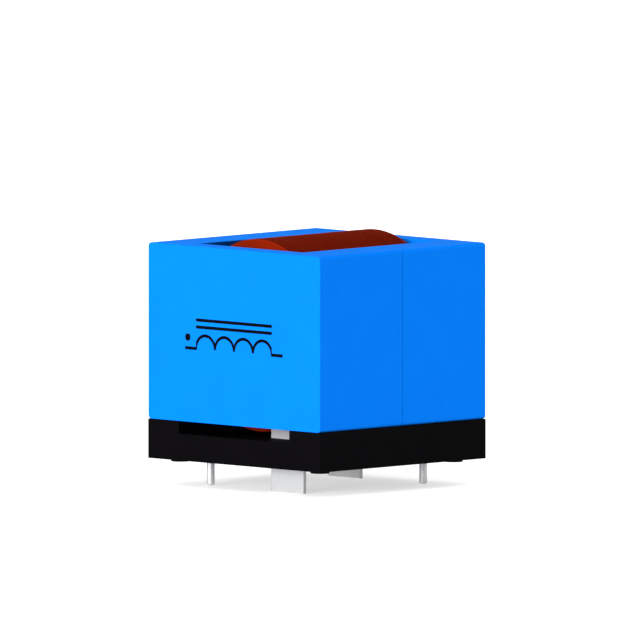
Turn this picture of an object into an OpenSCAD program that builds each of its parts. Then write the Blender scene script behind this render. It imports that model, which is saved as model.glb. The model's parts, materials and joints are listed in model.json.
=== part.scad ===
// Power factor correction choke: an edge-wound flat-wire coil in a two-piece core, standing on a moulded base.
// Millimetres, +Z up, +Y away from the front. The origin is on the seating plane, under the middle of the core.

/* [Winding] */

// Width of the flat wire, which is wound on its edge
wire_width = 7.2; // [6:0.1:8.5]
// Thickness of the flat wire
wire_thickness = 0.65; // [0.5:0.05:0.8]
// Gap between one turn and the next
turn_gap = 0.035; // [0.03:0.005:0.2]
// Radius on the inner edge of the bend from the coil into each terminal
lead_bend_radius = 2.4; // [1.5:0.1:4]
// Clear distance from each terminal to the foot of the core leg beside it
terminal_to_leg = 1.15; // [0.4:0.05:3]
// Steps in one turn of the coil
steps_per_turn = 32; // [24:4:36]

/* [Core] */

// Depth of the core over both end plates; the coil between them gets as many turns as fit
core_depth = 36.7; // [30:0.1:44]
// Diameter of the round centre post
post_diameter = 14.8; // [12:0.1:18]
// Gap between the coil's outside and the bore of the side legs
coil_to_leg = 2.8; // [2:0.1:4]
// Thickness of each side leg at its thinnest, beside the coil's axis
leg_thickness = 1.05; // [0.8:0.05:4]
// Least gap between each end of the coil and the plate beside it
coil_to_plate = 1.2; // [0.6:0.05:3]
// Thickness of each end plate
plate_thickness = 3.85; // [3:0.05:6]
// How far the coil stands out of the core's top and bottom
coil_rise = 1.3; // [0.6:0.1:2.5]
// Radius on the core's four long edges
core_edge_radius = 0.6; // [0.3:0.1:1]

/* [Sleeve] */

// Wall of the insulating tube on the post
sleeve_wall = 0.35; // [0.2:0.05:0.8]
// Clearance of the tube over the post
sleeve_over_post = 0.1; // [0.05:0.01:0.3]
// Clearance of the coil over the tube
coil_over_sleeve = 0.1; // [0.08:0.01:0.3]
// Distance from each end of the tube to the end plate
sleeve_to_plate = 0.4; // [0.1:0.1:1]

/* [Base] */

// Height of the base without its standoffs
base_height = 6.2; // [5:0.1:9]
// Width of each rail that the core's legs stand on
rail_width = 6.8; // [5:0.1:7.5]
// Gap between the coil and the floor of the channel under it
coil_to_floor = 0.7; // [0.3:0.1:1.5]
// Gap around each terminal in its slot
slot_clearance = 0.1; // [0.05:0.01:0.3]
// Diameter of each standoff
standoff_diameter = 3; // [2:0.1:4]
// Height of each standoff
standoff_height = 0.5; // [0.3:0.1:1.5]
// Distance from each standoff's centre to the two edges beside it
standoff_inset = 3.6; // [2.5:0.1:5]

/* [Pins] */

// Diameter of the round locating pins
pin_diameter = 1.25; // [1:0.05:2]
// Width of the shoulder on each pin, which stops its thinner shank against the underside of the base
pin_shoulder = 0.2; // [0.05:0.05:0.25]
// Gap around each pin's shank in its hole in the base
pin_clearance = 0.02; // [0.01:0.01:0.05]
// Distance from each pin's centre to the side edge of the base
pin_inset_side = 8; // [6.5:0.1:10]
// Distance from each pin's centre to the front or rear edge of the base
pin_inset_end = 5.85; // [3:0.05:8]
// Thickness of base left above each pin
pin_roof = 0.8; // [0.5:0.1:1.5]
// Chamfer on the tip of each pin
pin_chamfer = 0.25; // [0.1:0.05:0.4]
// Length of the terminals and pins under the seating plane
tail_length = 3.7; // [2.5:0.1:6]

/* [Hidden] */

fine = 96;
through = 1;

// Radii about the coil's axis, from the post outwards
post_r = post_diameter / 2;
sleeve_inner_r = post_r + sleeve_over_post;
sleeve_outer_r = sleeve_inner_r + sleeve_wall;
coil_inner_r = sleeve_outer_r + coil_over_sleeve;
coil_middle_r = coil_inner_r + wire_width / 2;
coil_outer_r = coil_inner_r + wire_width;
leg_bore_r = coil_outer_r + coil_to_leg;

// The core's outline, and the open width between the feet of its legs
core_width = 2 * (leg_bore_r + leg_thickness);
core_height = 2 * (coil_outer_r - coil_rise);
leg_foot_x = sqrt(pow(leg_bore_r, 2) - pow(core_height / 2, 2));

// Where each lead leaves the coil and turns straight down
terminal_x = leg_foot_x - terminal_to_leg - wire_width / 2;
bend_r = lead_bend_radius + wire_width / 2;
lead_angle = acos((terminal_x + bend_r) / (coil_middle_r + bend_r));
bend_steps = 6;

// The window between the end plates, and the whole turns that it holds beside the part turn to the terminals
window_length = core_depth - 2 * plate_thickness;
sleeve_length = window_length - 2 * sleeve_to_plate;
pitch = wire_thickness + turn_gap;
part_turn_angle = 180 + 2 * lead_angle;
turns_that_fit = (window_length - 2 * coil_to_plate - wire_thickness) / pitch;
full_turns = floor(turns_that_fit - part_turn_angle / 360);
coil_end_angle = 360 * full_turns + part_turn_angle - lead_angle;
coil_travel = pitch * (coil_end_angle + lead_angle) / 360;

// Heights above the seating plane
channel_depth = coil_rise + coil_to_floor;
channel_width = core_width - 2 * rail_width;
base_top = standoff_height + base_height;
floor_top = base_top - channel_depth;
axis_z = base_top + core_height / 2;

// Places in plan, and the pins' sizes
terminal_y = coil_travel / 2;
pin_x = core_width / 2 - pin_inset_side;
pin_y = core_depth / 2 - pin_inset_end;
pin_top = floor_top - pin_roof;
pin_r = pin_diameter / 2;
shank_r = pin_r - pin_shoulder;
standoff_x = core_width / 2 - standoff_inset;
standoff_y = core_depth / 2 - standoff_inset;

// Angles of the coil's sections: whole steps, so that the turns nest, and the two angles where the leads begin
step = 360 / steps_per_turn;
shortest_step = step / 5;
coil_angles = concat(
    [-lead_angle],
    [
        for (i = [-steps_per_turn : steps_per_turn * (full_turns + 1)])
            if (i * step > shortest_step - lead_angle && i * step < coil_end_angle - shortest_step) i * step
    ],
    [coil_end_angle]
);

// One section of the wire: [x, y, z of its middle, then the x and z of the direction across its width]
function coil_section(angle) = [
    coil_middle_r * cos(angle),
    pitch * (angle + lead_angle) / 360 - coil_travel / 2,
    axis_z + coil_middle_r * sin(angle),
    cos(angle),
    sin(angle)
];

// The front lead from its tip: straight up, then round an edgewise bend to the coil
function bend_section(angle) = [
    (coil_middle_r + bend_r) * cos(lead_angle) - bend_r * cos(angle),
    -terminal_y,
    axis_z - (coil_middle_r + bend_r) * sin(lead_angle) + bend_r * sin(angle),
    cos(angle),
    -sin(angle)
];
front_lead = concat(
    [[terminal_x, -terminal_y, -tail_length, 1, 0]],
    [for (i = [0 : bend_steps - 1]) bend_section(lead_angle * i / bend_steps)]
);

// The rear lead is the front one turned half round the vertical axis
rear_lead = [
    for (i = [len(front_lead) - 1 : -1 : 0])
        let (s = front_lead[i]) [-s[0], -s[1], s[2], -s[3], s[4]]
];

// Tip to tip: front lead, coil, rear lead
wire_path = concat(front_lead, [for (angle = coil_angles) coil_section(angle)], rear_lead);

function corner(s, across, along) = [
    s[0] + s[3] * across * wire_width / 2,
    s[1] + along * wire_thickness / 2,
    s[2] + s[4] * across * wire_width / 2
];

// A rectangle with round corners, centred
module round_rectangle(width, height, radius) {
    square([width - 2 * radius, height], center = true);
    square([width, height - 2 * radius], center = true);
    for (x = [-1, 1])
        for (y = [-1, 1])
            translate([x * (width / 2 - radius), y * (height / 2 - radius)])
                circle(radius, $fn = fine);
}

// A solid cylinder along the coil's axis, from the parting plane towards the front
module axial_cylinder(radius, length) {
    translate([0, 0, axis_z])
        rotate([90, 0, 0])
            cylinder(r = radius, h = length, $fn = fine);
}

// One core half, on the front side of the parting plane
module core_half() {
    difference() {
        translate([0, 0, axis_z])
            rotate([90, 0, 0])
                linear_extrude(core_depth / 2)
                    round_rectangle(core_width, core_height, core_edge_radius);
        difference() {
            translate([0, through, 0])
                axial_cylinder(leg_bore_r, window_length / 2 + through);
            translate([0, 2 * through, 0])
                axial_cylinder(post_r, window_length / 2 + 3 * through);
        }
    }
}

module core_half_front() {
    color("DodgerBlue")
        core_half();
}

module core_half_rear() {
    color("DodgerBlue")
        rotate([0, 0, 180])
            core_half();
}

// Tube on the post
module post_sleeve() {
    color("Gainsboro")
        translate([0, sleeve_length / 2, 0])
            difference() {
                axial_cylinder(sleeve_outer_r, sleeve_length);
                translate([0, through, 0])
                    axial_cylinder(sleeve_inner_r, sleeve_length + 2 * through);
            }
}

// The flat wire swept along its path, four corners to a section
module winding() {
    sections = len(wire_path);
    points = [
        for (s = wire_path)
            for (c = [[-1, -1], [1, -1], [1, 1], [-1, 1]])
                corner(s, c[0], c[1])
    ];
    // The front and rear faces are split along the same diagonal, which keeps the wire's thickness even
    sides = [
        for (i = [0 : sections - 2])
            for (k = [0 : 3])
                let (a = 4 * i + k, b = 4 * i + (k + 1) % 4)
                    each k < 2 ? [[a, a + 4, b + 4], [a, b + 4, b]] : [[a, a + 4, b], [a + 4, b + 4, b]]
    ];
    first_end = [0, 1, 2, 3];
    last_end = [for (k = [3 : -1 : 0]) 4 * (sections - 1) + k];
    color("#94280C")
        polyhedron(points = points, faces = concat(sides, [first_end, last_end]));
}

// Tray with the channel that clears the coil, open at the front and rear
module base() {
    slot_width = wire_width + 2 * slot_clearance;
    slot_length = wire_thickness + 2 * slot_clearance;
    hole_r = shank_r + pin_clearance;
    color("#242224")
        difference() {
            union() {
                translate([-core_width / 2, -core_depth / 2, standoff_height])
                    cube([core_width, core_depth, base_height]);
                for (x = [-standoff_x, standoff_x])
                    for (y = [-standoff_y, standoff_y])
                        translate([x, y, 0])
                            cylinder(d = standoff_diameter, h = standoff_height + through, $fn = fine);
            }
            translate([-channel_width / 2, -core_depth / 2 - through, floor_top])
                cube([channel_width, core_depth + 2 * through, channel_depth + through]);
            for (turn = [0, 180])
                rotate([0, 0, turn]) {
                    translate([terminal_x - slot_width / 2, -terminal_y - slot_length / 2, -through])
                        cube([slot_width, slot_length, base_top + 2 * through]);
                    translate([-pin_x, -pin_y, -through])
                        cylinder(r = hole_r, h = pin_top + pin_clearance + through, $fn = fine);
                }
        }
}

// Round pin with a chamfered tip, and a shank that is pressed into the base up to the shoulder
module locating_pin() {
    translate([-pin_x, -pin_y, 0])
        rotate_extrude($fn = fine)
            polygon([
                [0, -tail_length],
                [pin_r - pin_chamfer, -tail_length],
                [pin_r, pin_chamfer - tail_length],
                [pin_r, standoff_height],
                [shank_r, standoff_height],
                [shank_r, pin_top],
                [0, pin_top]
            ]);
}

module locating_pin_front() {
    color("Silver")
        locating_pin();
}

module locating_pin_rear() {
    color("Silver")
        rotate([0, 0, 180])
            locating_pin();
}

base();
locating_pin_front();
locating_pin_rear();
winding();
post_sleeve();
core_half_front();
core_half_rear();
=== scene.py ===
import json
import math

import bmesh
import bpy
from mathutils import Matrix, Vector


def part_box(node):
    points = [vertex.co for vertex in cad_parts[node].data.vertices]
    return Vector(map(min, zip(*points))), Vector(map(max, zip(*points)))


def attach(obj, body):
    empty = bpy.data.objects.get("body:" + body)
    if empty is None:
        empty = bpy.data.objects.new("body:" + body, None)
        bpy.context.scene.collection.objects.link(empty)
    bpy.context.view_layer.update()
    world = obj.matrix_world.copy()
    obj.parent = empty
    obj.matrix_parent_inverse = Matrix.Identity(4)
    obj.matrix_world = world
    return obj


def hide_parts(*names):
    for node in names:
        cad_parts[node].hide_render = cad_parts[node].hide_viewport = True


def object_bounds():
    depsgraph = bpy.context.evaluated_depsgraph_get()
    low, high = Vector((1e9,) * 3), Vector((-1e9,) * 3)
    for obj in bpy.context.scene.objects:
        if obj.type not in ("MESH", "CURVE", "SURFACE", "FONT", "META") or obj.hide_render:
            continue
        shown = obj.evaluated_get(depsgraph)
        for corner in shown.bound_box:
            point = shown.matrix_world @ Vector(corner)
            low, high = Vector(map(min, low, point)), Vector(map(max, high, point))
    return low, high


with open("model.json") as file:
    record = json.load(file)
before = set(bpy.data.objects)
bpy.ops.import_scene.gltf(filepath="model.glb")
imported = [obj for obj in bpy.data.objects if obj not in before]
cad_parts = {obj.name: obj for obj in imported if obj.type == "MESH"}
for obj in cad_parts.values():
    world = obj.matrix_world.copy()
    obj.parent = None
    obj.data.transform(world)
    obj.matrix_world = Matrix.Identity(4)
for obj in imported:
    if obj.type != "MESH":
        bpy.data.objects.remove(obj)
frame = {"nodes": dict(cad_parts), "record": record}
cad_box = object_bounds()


# Base
# The black tray that carries the core on two rails, moulded in one piece from a filled phenolic resin.
# The channel between the rails clears the coil, and four round standoffs keep the tray off the board.
mm = 0.001
base_edge = 0.12 * mm
weld_reach = 0.001 * mm
flat_within = math.radians(0.5)
sharp_over = math.radians(40)
edge_steps = 3
broad_face_weight = 100
grit_size = 0.16 * mm
grit_height = 0.01 * mm
flow_size = 4 * mm


def linear(code):
    """The linear RGBA of an sRGB hex code."""
    shares = [int(code[i : i + 2], 16) / 255 for i in (1, 3, 5)]
    return [s / 12.92 if s <= 0.04045 else ((s + 0.055) / 1.055) ** 2.4 for s in shares] + [1.0]


def add(tree, kind, inputs=None, **settings):
    """Adds a shader node. Settings are its properties, and inputs are values or outputs for its sockets."""
    made = tree.nodes.new(kind)
    for name, value in settings.items():
        setattr(made, name, value)
    for name, value in (inputs or {}).items():
        if isinstance(value, bpy.types.NodeSocket):
            tree.links.new(value, made.inputs[name])
        else:
            made.inputs[name].default_value = value
    return made


def start_material(name):
    """A material with an empty tree, and the place on the piece in metres, in the part's own frame."""
    made = bpy.data.materials.new(name)
    made.use_nodes = True
    made.node_tree.nodes.clear()
    place = add(made.node_tree, "ShaderNodeTexCoord").outputs["Object"]
    return made, made.node_tree, place


def dress(node, material):
    """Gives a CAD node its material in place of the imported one."""
    piece = frame["nodes"][node]
    piece.data.materials.clear()
    piece.data.materials.append(material)
    return piece


def soften(piece, radius):
    """Rounds a piece's sharp edges by modifiers, once its split corners are joined and its flats cleared."""
    join = piece.modifiers.new("join_corners", "WELD")
    join.merge_threshold = weld_reach
    clear = piece.modifiers.new("clear_flats", "DECIMATE")
    clear.decimate_type = "DISSOLVE"
    clear.angle_limit = flat_within
    edge = piece.modifiers.new("round_edges", "BEVEL")
    edge.width = radius
    edge.segments = edge_steps
    edge.limit_method = "ANGLE"
    edge.angle_limit = sharp_over
    flat = piece.modifiers.new("keep_sides_flat", "WEIGHTED_NORMAL")
    flat.weight = broad_face_weight


# Filled phenolic from a spark-eroded mould: a deep black that stays matt, with a fine grit along lit edges.
# The grit is drawn at four times its real size, so that it shows.
phenolic, tree, place = start_material("moulded_black_phenolic")
grit = add(tree, "ShaderNodeTexNoise", {"Vector": place, "Scale": 1 / grit_size, "Detail": 3.0})
flow = add(tree, "ShaderNodeTexNoise", {"Vector": place, "Scale": 1 / flow_size, "Detail": 4.0})
tone = add(
    tree,
    "ShaderNodeMixRGB",
    {"Fac": flow.outputs["Fac"], "Color1": linear("#030203"), "Color2": linear("#080608")},
)
dull = add(tree, "ShaderNodeMapRange", {"Value": grit.outputs["Fac"], "To Min": 0.55, "To Max": 0.7})
relief = add(
    tree,
    "ShaderNodeBump",
    {"Height": grit.outputs["Fac"], "Strength": 0.5, "Distance": grit_height},
)
skin = add(
    tree,
    "ShaderNodeBsdfPrincipled",
    {
        "Base Color": tone.outputs["Color"],
        "Roughness": dull.outputs["Result"],
        "Specular IOR Level": 0.02,
        "Normal": relief.outputs["Normal"],
    },
)
add(tree, "ShaderNodeOutputMaterial", {"Surface": skin.outputs["BSDF"]})
soften(dress("base", phenolic), base_edge)


# Locating pins
# Two round pins, turned from copper-clad wire, dipped in tin and pressed into the base up to a shoulder.
# They carry no current: soldered into the board, they steady the part.
pin_edge = 0.08 * mm
ripple_size = 0.9 * mm
ripple_height = 0.03 * mm
frost_size = 2.5 * mm
frost_spread = 0.12

# Tin from the bath: a pale grey metal with soft ripples. Wiped, as on the pins, it has a satin sheen,
# and left to freeze, as on the terminals, it turns frosty. On narrow edges it is thin, and greyer, and that
# greyer tin is also painted shade that darkens the terminals' narrow sides.
tins = {}
for name, dark, pale, smoothest in (
    ("satin_dipped_tin", "#C4C5C6", "#D0D0D1", 0.48),
    ("frosty_dipped_tin", "#C8C9CA", "#D4D4D5", 0.68),
    # The greyer edge tin is partly painted shade on the narrow sides.
    ("thin_and_shaded_tin", "#B0B1B3", "#BDBDBF", 0.58),
):
    tins[name], tree, place = start_material(name)
    ripple = add(tree, "ShaderNodeTexNoise", {"Vector": place, "Scale": 1 / ripple_size, "Detail": 2.0})
    frost = add(tree, "ShaderNodeTexNoise", {"Vector": place, "Scale": 1 / frost_size, "Detail": 3.0})
    tone = add(
        tree,
        "ShaderNodeMixRGB",
        {"Fac": frost.outputs["Fac"], "Color1": linear(dark), "Color2": linear(pale)},
    )
    dull = add(
        tree,
        "ShaderNodeMapRange",
        {"Value": frost.outputs["Fac"], "To Min": smoothest, "To Max": smoothest + frost_spread},
    )
    relief = add(
        tree,
        "ShaderNodeBump",
        {"Height": ripple.outputs["Fac"], "Strength": 0.6, "Distance": ripple_height},
    )
    metal = add(
        tree,
        "ShaderNodeBsdfPrincipled",
        {
            "Base Color": tone.outputs["Color"],
            "Roughness": dull.outputs["Result"],
            "Metallic": 1.0,
            "Normal": relief.outputs["Normal"],
        },
    )
    add(tree, "ShaderNodeOutputMaterial", {"Surface": metal.outputs["BSDF"]})
for name in ("locating_pin_front", "locating_pin_rear"):
    soften(dress(name, tins["satin_dipped_tin"]), pin_edge)


# Post sleeve
# A tube of thin polyester film rolled round the core's post before the coil goes on.
# It keeps the coil's inner edges off the core, and only its end can be glimpsed beside the coil.
haze_size = 3 * mm

# Calendered polyester film: smooth and milky, with a faint cloudiness.
film, tree, place = start_material("calendered_polyester_film")
haze = add(tree, "ShaderNodeTexNoise", {"Vector": place, "Scale": 1 / haze_size, "Detail": 3.0})
tone = add(
    tree,
    "ShaderNodeMixRGB",
    {"Fac": haze.outputs["Fac"], "Color1": linear("#D9D3BF"), "Color2": linear("#E7E2D2")},
)
sheet = add(
    tree, "ShaderNodeBsdfPrincipled", {"Base Color": tone.outputs["Color"], "Roughness": 0.4, "IOR": 1.64}
)
add(tree, "ShaderNodeOutputMaterial", {"Surface": sheet.outputs["BSDF"]})
dress("post_sleeve", film)


# Winding
# One length of rolled flat copper wire with a baked enamel, wound on its edge into a single-layer coil.
# Each end leaves the coil in an edgewise bend and runs straight down, stripped and tinned, as a terminal.
wire_width = 7.2 * mm
wire_thickness = 0.65 * mm
coil_edge = 0.24 * mm
lead_edge = 0.1 * mm
tip_edge = 0.08 * mm
bend_inside = 2.4 * mm
full_turns = 37
steps_per_turn = 96
bend_steps = 16
tip_steps = 4
tin_over_base = 0.4 * mm
wander = 0.03 * mm
slow_sway = 0.37
quick_sway = 1.13
varnish_and_shade_reach = 0.32 * mm
streak_size = 0.5 * mm
streak_stretch = 25
mottle_size = 2 * mm
mottle_height = 0.01 * mm

low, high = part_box("winding")
coil_outer = (high.x - low.x) / 2
coil_middle = coil_outer - wire_width / 2
axis_z = high.z - coil_outer
end_y = high.y - wire_thickness / 2
mounts = {mount["name"]: mount for mount in frame["record"]["mounts"]}
terminal_x = mounts["terminal_front"]["pos_m"][0]
tin_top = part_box("base")[1].z + tin_over_base
bend_middle = bend_inside + wire_width / 2
lead_angle = math.acos((terminal_x + bend_middle) / (coil_middle + bend_middle))
bend_x = (coil_middle + bend_middle) * math.cos(lead_angle)
bend_z = axis_z - (coil_middle + bend_middle) * math.sin(lead_angle)
coil_sweep = math.tau * full_turns + math.pi + 2 * lead_angle
pitch = 2 * end_y / coil_sweep * math.tau

# The wire's edges have more steps on the coil's outside.
# Two of the outline's sides are the wire's broad ones.
outer_steps = 4
inner_steps = 2
broad_sides = (2 * outer_steps + 1, 2 * (outer_steps + inner_steps) + 3)


def wire_outline(edge, inset):
    """The wire's section with its round edges, as places across its width and along the coil's axis."""
    half_width = wire_width / 2 - edge
    half_thickness = wire_thickness / 2 - edge
    radius = edge - inset
    corners = []
    for across, along, steps in (
        (1, -1, outer_steps),
        (1, 1, outer_steps),
        (-1, 1, inner_steps),
        (-1, -1, inner_steps),
    ):
        first = math.atan2(along, across) - math.pi / 4
        for i in range(steps + 1):
            turn = first + math.pi / 2 * i / steps
            place_across = across * half_width + radius * math.cos(turn)
            place_along = along * half_thickness + radius * math.sin(turn)
            corners.append((place_across, place_along))
    return corners


# A station on the wire's path is its middle's x, y and z, the x and z of the way across, its edge and
# its inset. The stamped ends are crisp, and the bends ease over to the coil's rounder edge.
tip_stations = []
for i in range(tip_steps + 1):
    turn = math.pi / 2 * i / tip_steps
    tip_z = low.z + tip_edge * (1 - math.cos(turn))
    tip_stations.append((terminal_x, -end_y, tip_z, 1, 0, lead_edge, tip_edge * (1 - math.sin(turn))))
tinned_stations = tip_stations + [(terminal_x, -end_y, tin_top, 1, 0, lead_edge, 0)]

bend_stations = []
for i in range(bend_steps):
    turn = lead_angle * i / bend_steps
    x = bend_x - bend_middle * math.cos(turn)
    z = bend_z + bend_middle * math.sin(turn)
    edge = lead_edge + (coil_edge - lead_edge) * i / bend_steps
    bend_stations.append((x, -end_y, z, math.cos(turn), -math.sin(turn), edge, 0))

# Each turn strays a little inside the true circle, as on a wound coil, and the ends stay true.
coil_stations = []
coil_steps = round(coil_sweep / math.tau * steps_per_turn)
for i in range(coil_steps + 1):
    turn = coil_sweep * i / coil_steps
    ease = min(1, turn, coil_sweep - turn)
    stray = wander * ease * (0.5 + 0.25 * math.sin(slow_sway * turn) + 0.25 * math.sin(quick_sway * turn))
    across_x = math.cos(turn - lead_angle)
    across_z = math.sin(turn - lead_angle)
    x = (coil_middle - stray) * across_x
    z = axis_z + (coil_middle - stray) * across_z
    coil_stations.append((x, end_y * (2 * i / coil_steps - 1), z, across_x, across_z, coil_edge, 0))

# The rear lead is the front one turned half round the vertical axis.
front_lead = tinned_stations + bend_stations
rear_lead = []
for x, y, z, across_x, across_z, edge, inset in reversed(front_lead):
    rear_lead.append((-x, -y, z, -across_x, across_z, edge, inset))

# Impregnating varnish gathers between the turns on the coil's outside, and there the grooves are darkened
# with painted shade as well. Each corner there keeps how much of both it has, from 0 to 1.
shape = bmesh.new()
varnish_and_shade = shape.verts.layers.float.new("varnish_and_shade")
rings = []
for i, (x, y, z, across_x, across_z, edge, inset) in enumerate(front_lead + coil_stations + rear_lead):
    wound = coil_sweep * (i - len(front_lead)) / coil_steps
    rings.append([])
    for across, along in wire_outline(edge, inset):
        corner = shape.verts.new((x + across_x * across, y + along, z + across_z * across))
        turn_beside = wound - math.copysign(math.tau, -along)
        if across > 0 and 0 <= wound <= coil_sweep and 0 <= turn_beside <= coil_sweep:
            corner[varnish_and_shade] = max(0, 1 - (pitch / 2 - abs(along)) / varnish_and_shade_reach)
        rings[i].append(corner)

# The tinned stretches take the frosty tin on their broad sides, and the thin tin on their edges and ends;
# its greyer tone is partly painted shade on the narrow sides.
frosty_slot = 1
thin_and_shaded_slot = 2
last = len(rings) - 1
tinned_rings = len(tinned_stations) - 1
corner_count = len(rings[0])
for i in range(last):
    tinned = i < tinned_rings or i >= last - tinned_rings
    for k in range(corner_count):
        after = (k + 1) % corner_count
        side = shape.faces.new((rings[i][k], rings[i][after], rings[i + 1][after], rings[i + 1][k]))
        side.smooth = True
        if tinned:
            side.material_index = frosty_slot if k in broad_sides else thin_and_shaded_slot
for end in (rings[0], rings[last]):
    shape.faces.new(end).material_index = thin_and_shaded_slot
bmesh.ops.recalc_face_normals(shape, faces=shape.faces)
coil_mesh = bpy.data.meshes.new("flat_wire_coil")
shape.to_mesh(coil_mesh)
shape.free()
flat_wire_coil = bpy.data.objects.new("flat_wire_coil", coil_mesh)
bpy.context.scene.collection.objects.link(flat_wire_coil)
flat = flat_wire_coil.modifiers.new("keep_sides_flat", "WEIGHTED_NORMAL")
flat.weight = broad_face_weight

# Polyesterimide enamel baked on rolled copper: a deep red-brown, nearly matt, with each turn a shade apart.
# The streaks run with the wire, so they are stretched across the coil's axis.
enamel, tree, place = start_material("baked_enamel_on_copper")
with_wire = (1 / streak_stretch, 1.0, 1 / streak_stretch)
by_turn = add(tree, "ShaderNodeMapping", {"Vector": place, "Scale": with_wire})
streak = add(
    tree, "ShaderNodeTexNoise", {"Vector": by_turn.outputs["Vector"], "Scale": 1 / streak_size, "Detail": 2.0}
)
mottle = add(tree, "ShaderNodeTexNoise", {"Vector": place, "Scale": 1 / mottle_size, "Detail": 3.0})
bare_tone = add(
    tree,
    "ShaderNodeMixRGB",
    {"Fac": streak.outputs["Fac"], "Color1": linear("#6A1605"), "Color2": linear("#9C2405")},
)

# Varnish and painted shade darken the grooves between the turns: a dark line that follows the helix.
varnish_and_shade_amount = add(tree, "ShaderNodeAttribute", attribute_name="varnish_and_shade")
tone = add(
    tree,
    "ShaderNodeMixRGB",
    {"Fac": varnish_and_shade_amount.outputs["Fac"], "Color1": bare_tone.outputs["Color"], "Color2": linear("#1C0401")},
)
dull = add(tree, "ShaderNodeMapRange", {"Value": mottle.outputs["Fac"], "To Min": 0.55, "To Max": 0.7})
relief = add(
    tree,
    "ShaderNodeBump",
    {"Height": mottle.outputs["Fac"], "Strength": 0.3, "Distance": mottle_height},
)
coat = add(
    tree,
    "ShaderNodeBsdfPrincipled",
    {
        "Base Color": tone.outputs["Color"],
        "Roughness": dull.outputs["Result"],
        "Specular IOR Level": 0.004,
        "Normal": relief.outputs["Normal"],
    },
)
add(tree, "ShaderNodeOutputMaterial", {"Surface": coat.outputs["BSDF"]})
for material in (enamel, tins["frosty_dipped_tin"], tins["thin_and_shaded_tin"]):
    coil_mesh.materials.append(material)
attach(flat_wire_coil, "root")
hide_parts("winding")


# Core halves
# Two equal halves pressed from metal powder, coated in blue epoxy and glued together round the coil.
# Each has an end plate, two side legs and half of the round post; the glue line shows at mid-depth.
# The front plate has the usual sign for a coil on a core, pad-printed in black, with a start dot.
core_edge = 0.12 * mm
glue_line = 0.1 * mm
peel_size = 1.1 * mm
peel_height = 0.03 * mm
grain_size = 0.3 * mm
grain_height = 0.01 * mm
cloud_size = 5 * mm
print_stroke = 0.5 * mm
print_depth = 0.05 * mm
print_shake = 0.05 * mm
hump_radius = 2.1 * mm
hump_count = 4
dot_x = -10.2 * mm
dot_rise = 1.7 * mm
dot_radius = 0.6 * mm
sign_z = axis_z - 2.2 * mm

# Each bar of the sign is its middle's x, its rise over the foot of the humps and its length, in mm:
# two for the core, and two for the winding's ends.
sign_bars = [(0, 3.4, 16.8), (0, 4.5, 16.8), (-9.5, 0, 2.6), (9.5, 0, 2.6)]

# Epoxy coat, sprayed and baked on pressed powder: bright blue and matt, with a slight orange peel over
# the grains.
epoxy, tree, place = start_material("baked_blue_epoxy")
peel = add(tree, "ShaderNodeTexNoise", {"Vector": place, "Scale": 1 / peel_size, "Detail": 1.0})
grain = add(tree, "ShaderNodeTexNoise", {"Vector": place, "Scale": 1 / grain_size, "Detail": 3.0})
cloud = add(tree, "ShaderNodeTexNoise", {"Vector": place, "Scale": 1 / cloud_size, "Detail": 4.0})
tone = add(
    tree,
    "ShaderNodeMixRGB",
    {"Fac": cloud.outputs["Fac"], "Color1": linear("#067CF7"), "Color2": linear("#0884FF")},
)

# The print's edge follows the grains, so its places are shaken a little before the strokes are measured out.
shaken = add(
    tree,
    "ShaderNodeVectorMath",
    {0: grain.outputs["Color"], 1: [print_shake] * 3, 2: place},
    operation="MULTIPLY_ADD",
)
spot = add(tree, "ShaderNodeSeparateXYZ", {"Vector": shaken.outputs["Vector"]}).outputs
rise = add(tree, "ShaderNodeMath", {0: spot["Z"], 1: sign_z}, operation="SUBTRACT").outputs["Value"]

# The humps are the upper halves of equal rings in a row.
fold = add(tree, "ShaderNodeMath", {0: spot["X"], 1: 2 * hump_radius, 2: 0.0}, operation="WRAP")
off_hump = add(tree, "ShaderNodeMath", {0: fold.outputs["Value"], 1: hump_radius}, operation="SUBTRACT")
from_hump = add(tree, "ShaderNodeCombineXYZ", {"X": off_hump.outputs["Value"], "Z": rise})
reach = add(tree, "ShaderNodeVectorMath", {0: from_hump.outputs["Vector"]}, operation="LENGTH")
ring = add(
    tree,
    "ShaderNodeMath",
    {0: reach.outputs["Value"], 1: hump_radius, 2: print_stroke / 2},
    operation="COMPARE",
)
upper = add(tree, "ShaderNodeMath", {0: rise, 1: 0.0}, operation="GREATER_THAN")
within = add(
    tree,
    "ShaderNodeMath",
    {0: spot["X"], 1: 0.0, 2: hump_count * hump_radius},
    operation="COMPARE",
)
arch = add(
    tree,
    "ShaderNodeMath",
    {0: ring.outputs["Value"], 1: upper.outputs["Value"]},
    operation="MULTIPLY",
)
ink = add(
    tree,
    "ShaderNodeMath",
    {0: arch.outputs["Value"], 1: within.outputs["Value"]},
    operation="MULTIPLY",
)

# The bars and the dot are added, and all of it stays on the front face.
for x, z, width in sign_bars:
    wide = add(tree, "ShaderNodeMath", {0: spot["X"], 1: x * mm, 2: width / 2 * mm}, operation="COMPARE")
    tall = add(tree, "ShaderNodeMath", {0: rise, 1: z * mm, 2: print_stroke / 2}, operation="COMPARE")
    bar = add(
        tree,
        "ShaderNodeMath",
        {0: wide.outputs["Value"], 1: tall.outputs["Value"]},
        operation="MULTIPLY",
    )
    ink = add(tree, "ShaderNodeMath", {0: ink.outputs["Value"], 1: bar.outputs["Value"]}, operation="MAXIMUM")
on_face = add(tree, "ShaderNodeCombineXYZ", {"X": spot["X"], "Z": rise})
dot_reach = add(
    tree,
    "ShaderNodeVectorMath",
    {0: on_face.outputs["Vector"], 1: (dot_x, 0, dot_rise)},
    operation="DISTANCE",
)
dot = add(tree, "ShaderNodeMath", {0: dot_reach.outputs["Value"], 1: dot_radius}, operation="LESS_THAN")
ink = add(tree, "ShaderNodeMath", {0: ink.outputs["Value"], 1: dot.outputs["Value"]}, operation="MAXIMUM")
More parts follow.
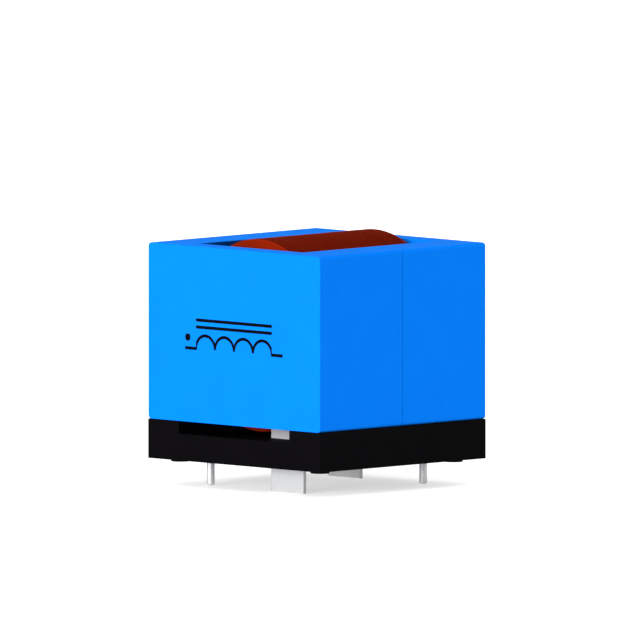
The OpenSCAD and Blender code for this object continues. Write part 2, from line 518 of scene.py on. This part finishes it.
front_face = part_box("core_half_front")[0].y + print_depth
on_front = add(tree, "ShaderNodeMath", {0: spot["Y"], 1: front_face}, operation="LESS_THAN")
ink = add(
    tree,
    "ShaderNodeMath",
    {0: ink.outputs["Value"], 1: on_front.outputs["Value"]},
    operation="MULTIPLY",
)
printed = add(
    tree,
    "ShaderNodeMixRGB",
    {"Fac": ink.outputs["Value"], "Color1": tone.outputs["Color"], "Color2": linear("#0B0A0C")},
)
glue = add(tree, "ShaderNodeMath", {0: spot["Y"], 1: 0.0, 2: glue_line / 2}, operation="COMPARE")
joined = add(
    tree,
    "ShaderNodeMixRGB",
    {"Fac": glue.outputs["Value"], "Color1": printed.outputs["Color"], "Color2": linear("#064CA8")},
)
dull = add(tree, "ShaderNodeMapRange", {"Value": grain.outputs["Fac"], "To Min": 0.55, "To Max": 0.7})
lumps = add(
    tree,
    "ShaderNodeBump",
    {"Height": peel.outputs["Fac"], "Strength": 0.35, "Distance": peel_height},
)
relief = add(
    tree,
    "ShaderNodeBump",
    {
        "Height": grain.outputs["Fac"],
        "Strength": 0.35,
        "Distance": grain_height,
        "Normal": lumps.outputs["Normal"],
    },
)
coat = add(
    tree,
    "ShaderNodeBsdfPrincipled",
    {
        "Base Color": joined.outputs["Color"],
        "Roughness": dull.outputs["Result"],
        "Specular IOR Level": 0.005,
        "Normal": relief.outputs["Normal"],
    },
)
add(tree, "ShaderNodeOutputMaterial", {"Surface": coat.outputs["BSDF"]})
for name in ("core_half_front", "core_half_rear"):
    soften(dress(name, epoxy), core_edge)


# Floor
# A wide sheet of white paper, on which the part stands on its terminals and pins.
# It is the setting, so it is no piece of the part.
floor_side = 8.0
fibre_size = 3 * mm
seen_lift = 0.6

floor_mesh = bpy.data.meshes.new("floor")
shape = bmesh.new()
bmesh.ops.create_grid(shape, x_segments=1, y_segments=1, size=floor_side / 2)
shape.to_mesh(floor_mesh)
shape.free()
floor = bpy.data.objects.new("floor", floor_mesh)
floor.location.z = cad_box[0].z
bpy.context.scene.collection.objects.link(floor)


def seen_white(tree):
    """1 for rays from the camera, off gloss and through glass, which see a white setting, 0 for the rest."""
    path = add(tree, "ShaderNodeLightPath").outputs
    sight = {0: path["Is Camera Ray"], 1: path["Is Glossy Ray"]}
    either = add(tree, "ShaderNodeMath", sight, operation="MAXIMUM")
    glass = {0: either.outputs["Value"], 1: path["Is Transmission Ray"]}
    return add(tree, "ShaderNodeMath", glass, operation="MAXIMUM").outputs["Value"]


# Matt white paper, lifted to full white where it is seen, so that only the part's own shadow shows on it.
paper, tree, place = start_material("matt_white_paper")
fibre = add(tree, "ShaderNodeTexNoise", {"Vector": place, "Scale": 1 / fibre_size, "Detail": 3.0})
tone = add(
    tree,
    "ShaderNodeMixRGB",
    {"Fac": fibre.outputs["Fac"], "Color1": linear("#EDEDED"), "Color2": linear("#F1F1F1")},
)
sheet = add(tree, "ShaderNodeBsdfDiffuse", {"Color": tone.outputs["Color"]})
lift = add(tree, "ShaderNodeMath", {0: seen_white(tree), 1: seen_lift}, operation="MULTIPLY")
glow = add(tree, "ShaderNodeEmission", {"Strength": lift.outputs["Value"]})
both = add(tree, "ShaderNodeAddShader", {0: sheet.outputs["BSDF"], 1: glow.outputs["Emission"]})
add(tree, "ShaderNodeOutputMaterial", {"Surface": both.outputs["Shader"]})
floor_mesh.materials.append(paper)


# Light
# A white room with two wide soft lamps: the main one before the front face, a little to the right,
# and a weak one above.
room_level = 0.68
world = bpy.data.worlds.new("white_room")
world.use_nodes = True
tree = world.node_tree
tree.nodes.clear()
level = add(tree, "ShaderNodeMapRange", {"Value": seen_white(tree), "To Min": room_level, "To Max": 1.0})
room = add(tree, "ShaderNodeBackground", {"Color": linear("#FFFFFF"), "Strength": level.outputs["Result"]})
add(tree, "ShaderNodeOutputWorld", {"Surface": room.outputs["Background"]})
bpy.context.scene.world = world

# A lamp's share is what it adds to a white surface that faces it, and its spread is in degrees.
for name, from_where, share, spread in (
    ("main_lamp", (0.12, -0.98, 0.13), 0.98, 28),
    ("top_lamp", (0.35, -0.35, 0.87), 0.18, 60),
):
    lamp = bpy.data.lights.new(name, "SUN")
    lamp.energy = share * math.pi
    lamp.angle = math.radians(spread)
    hung = bpy.data.objects.new(name, lamp)
    hung.rotation_euler = Vector(from_where).to_track_quat("Z", "Y").to_euler()
    bpy.context.scene.collection.objects.link(hung)


# Camera
# A parallel view from the front right corner, a little above the part.
# It looks at a point on the part's own axis, below the core's top, moved a little aside.
azimuth = math.radians(45)
elevation = math.radians(5)
view_width = 100.13 * mm
view_distance = 0.4
below_core_top = 12.21 * mm
aside = 0.477 * mm

lens = bpy.data.cameras.new("camera")
lens.type = "ORTHO"
lens.ortho_scale = view_width
camera = bpy.data.objects.new("camera", lens)
core_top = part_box("core_half_front")[1].z
right = Vector((math.cos(azimuth), math.sin(azimuth), 0))
forward = Vector((-math.sin(azimuth), math.cos(azimuth), 0))
back = Vector((0, 0, math.sin(elevation))) - forward * math.cos(elevation)
target = Vector((0, 0, core_top - below_core_top)) + right * aside
camera.location = target + back * view_distance
camera.rotation_euler = back.to_track_quat("Z", "Y").to_euler()
bpy.context.scene.collection.objects.link(camera)
bpy.context.scene.camera = camera
bpy.context.scene.view_settings.view_transform = "Standard"
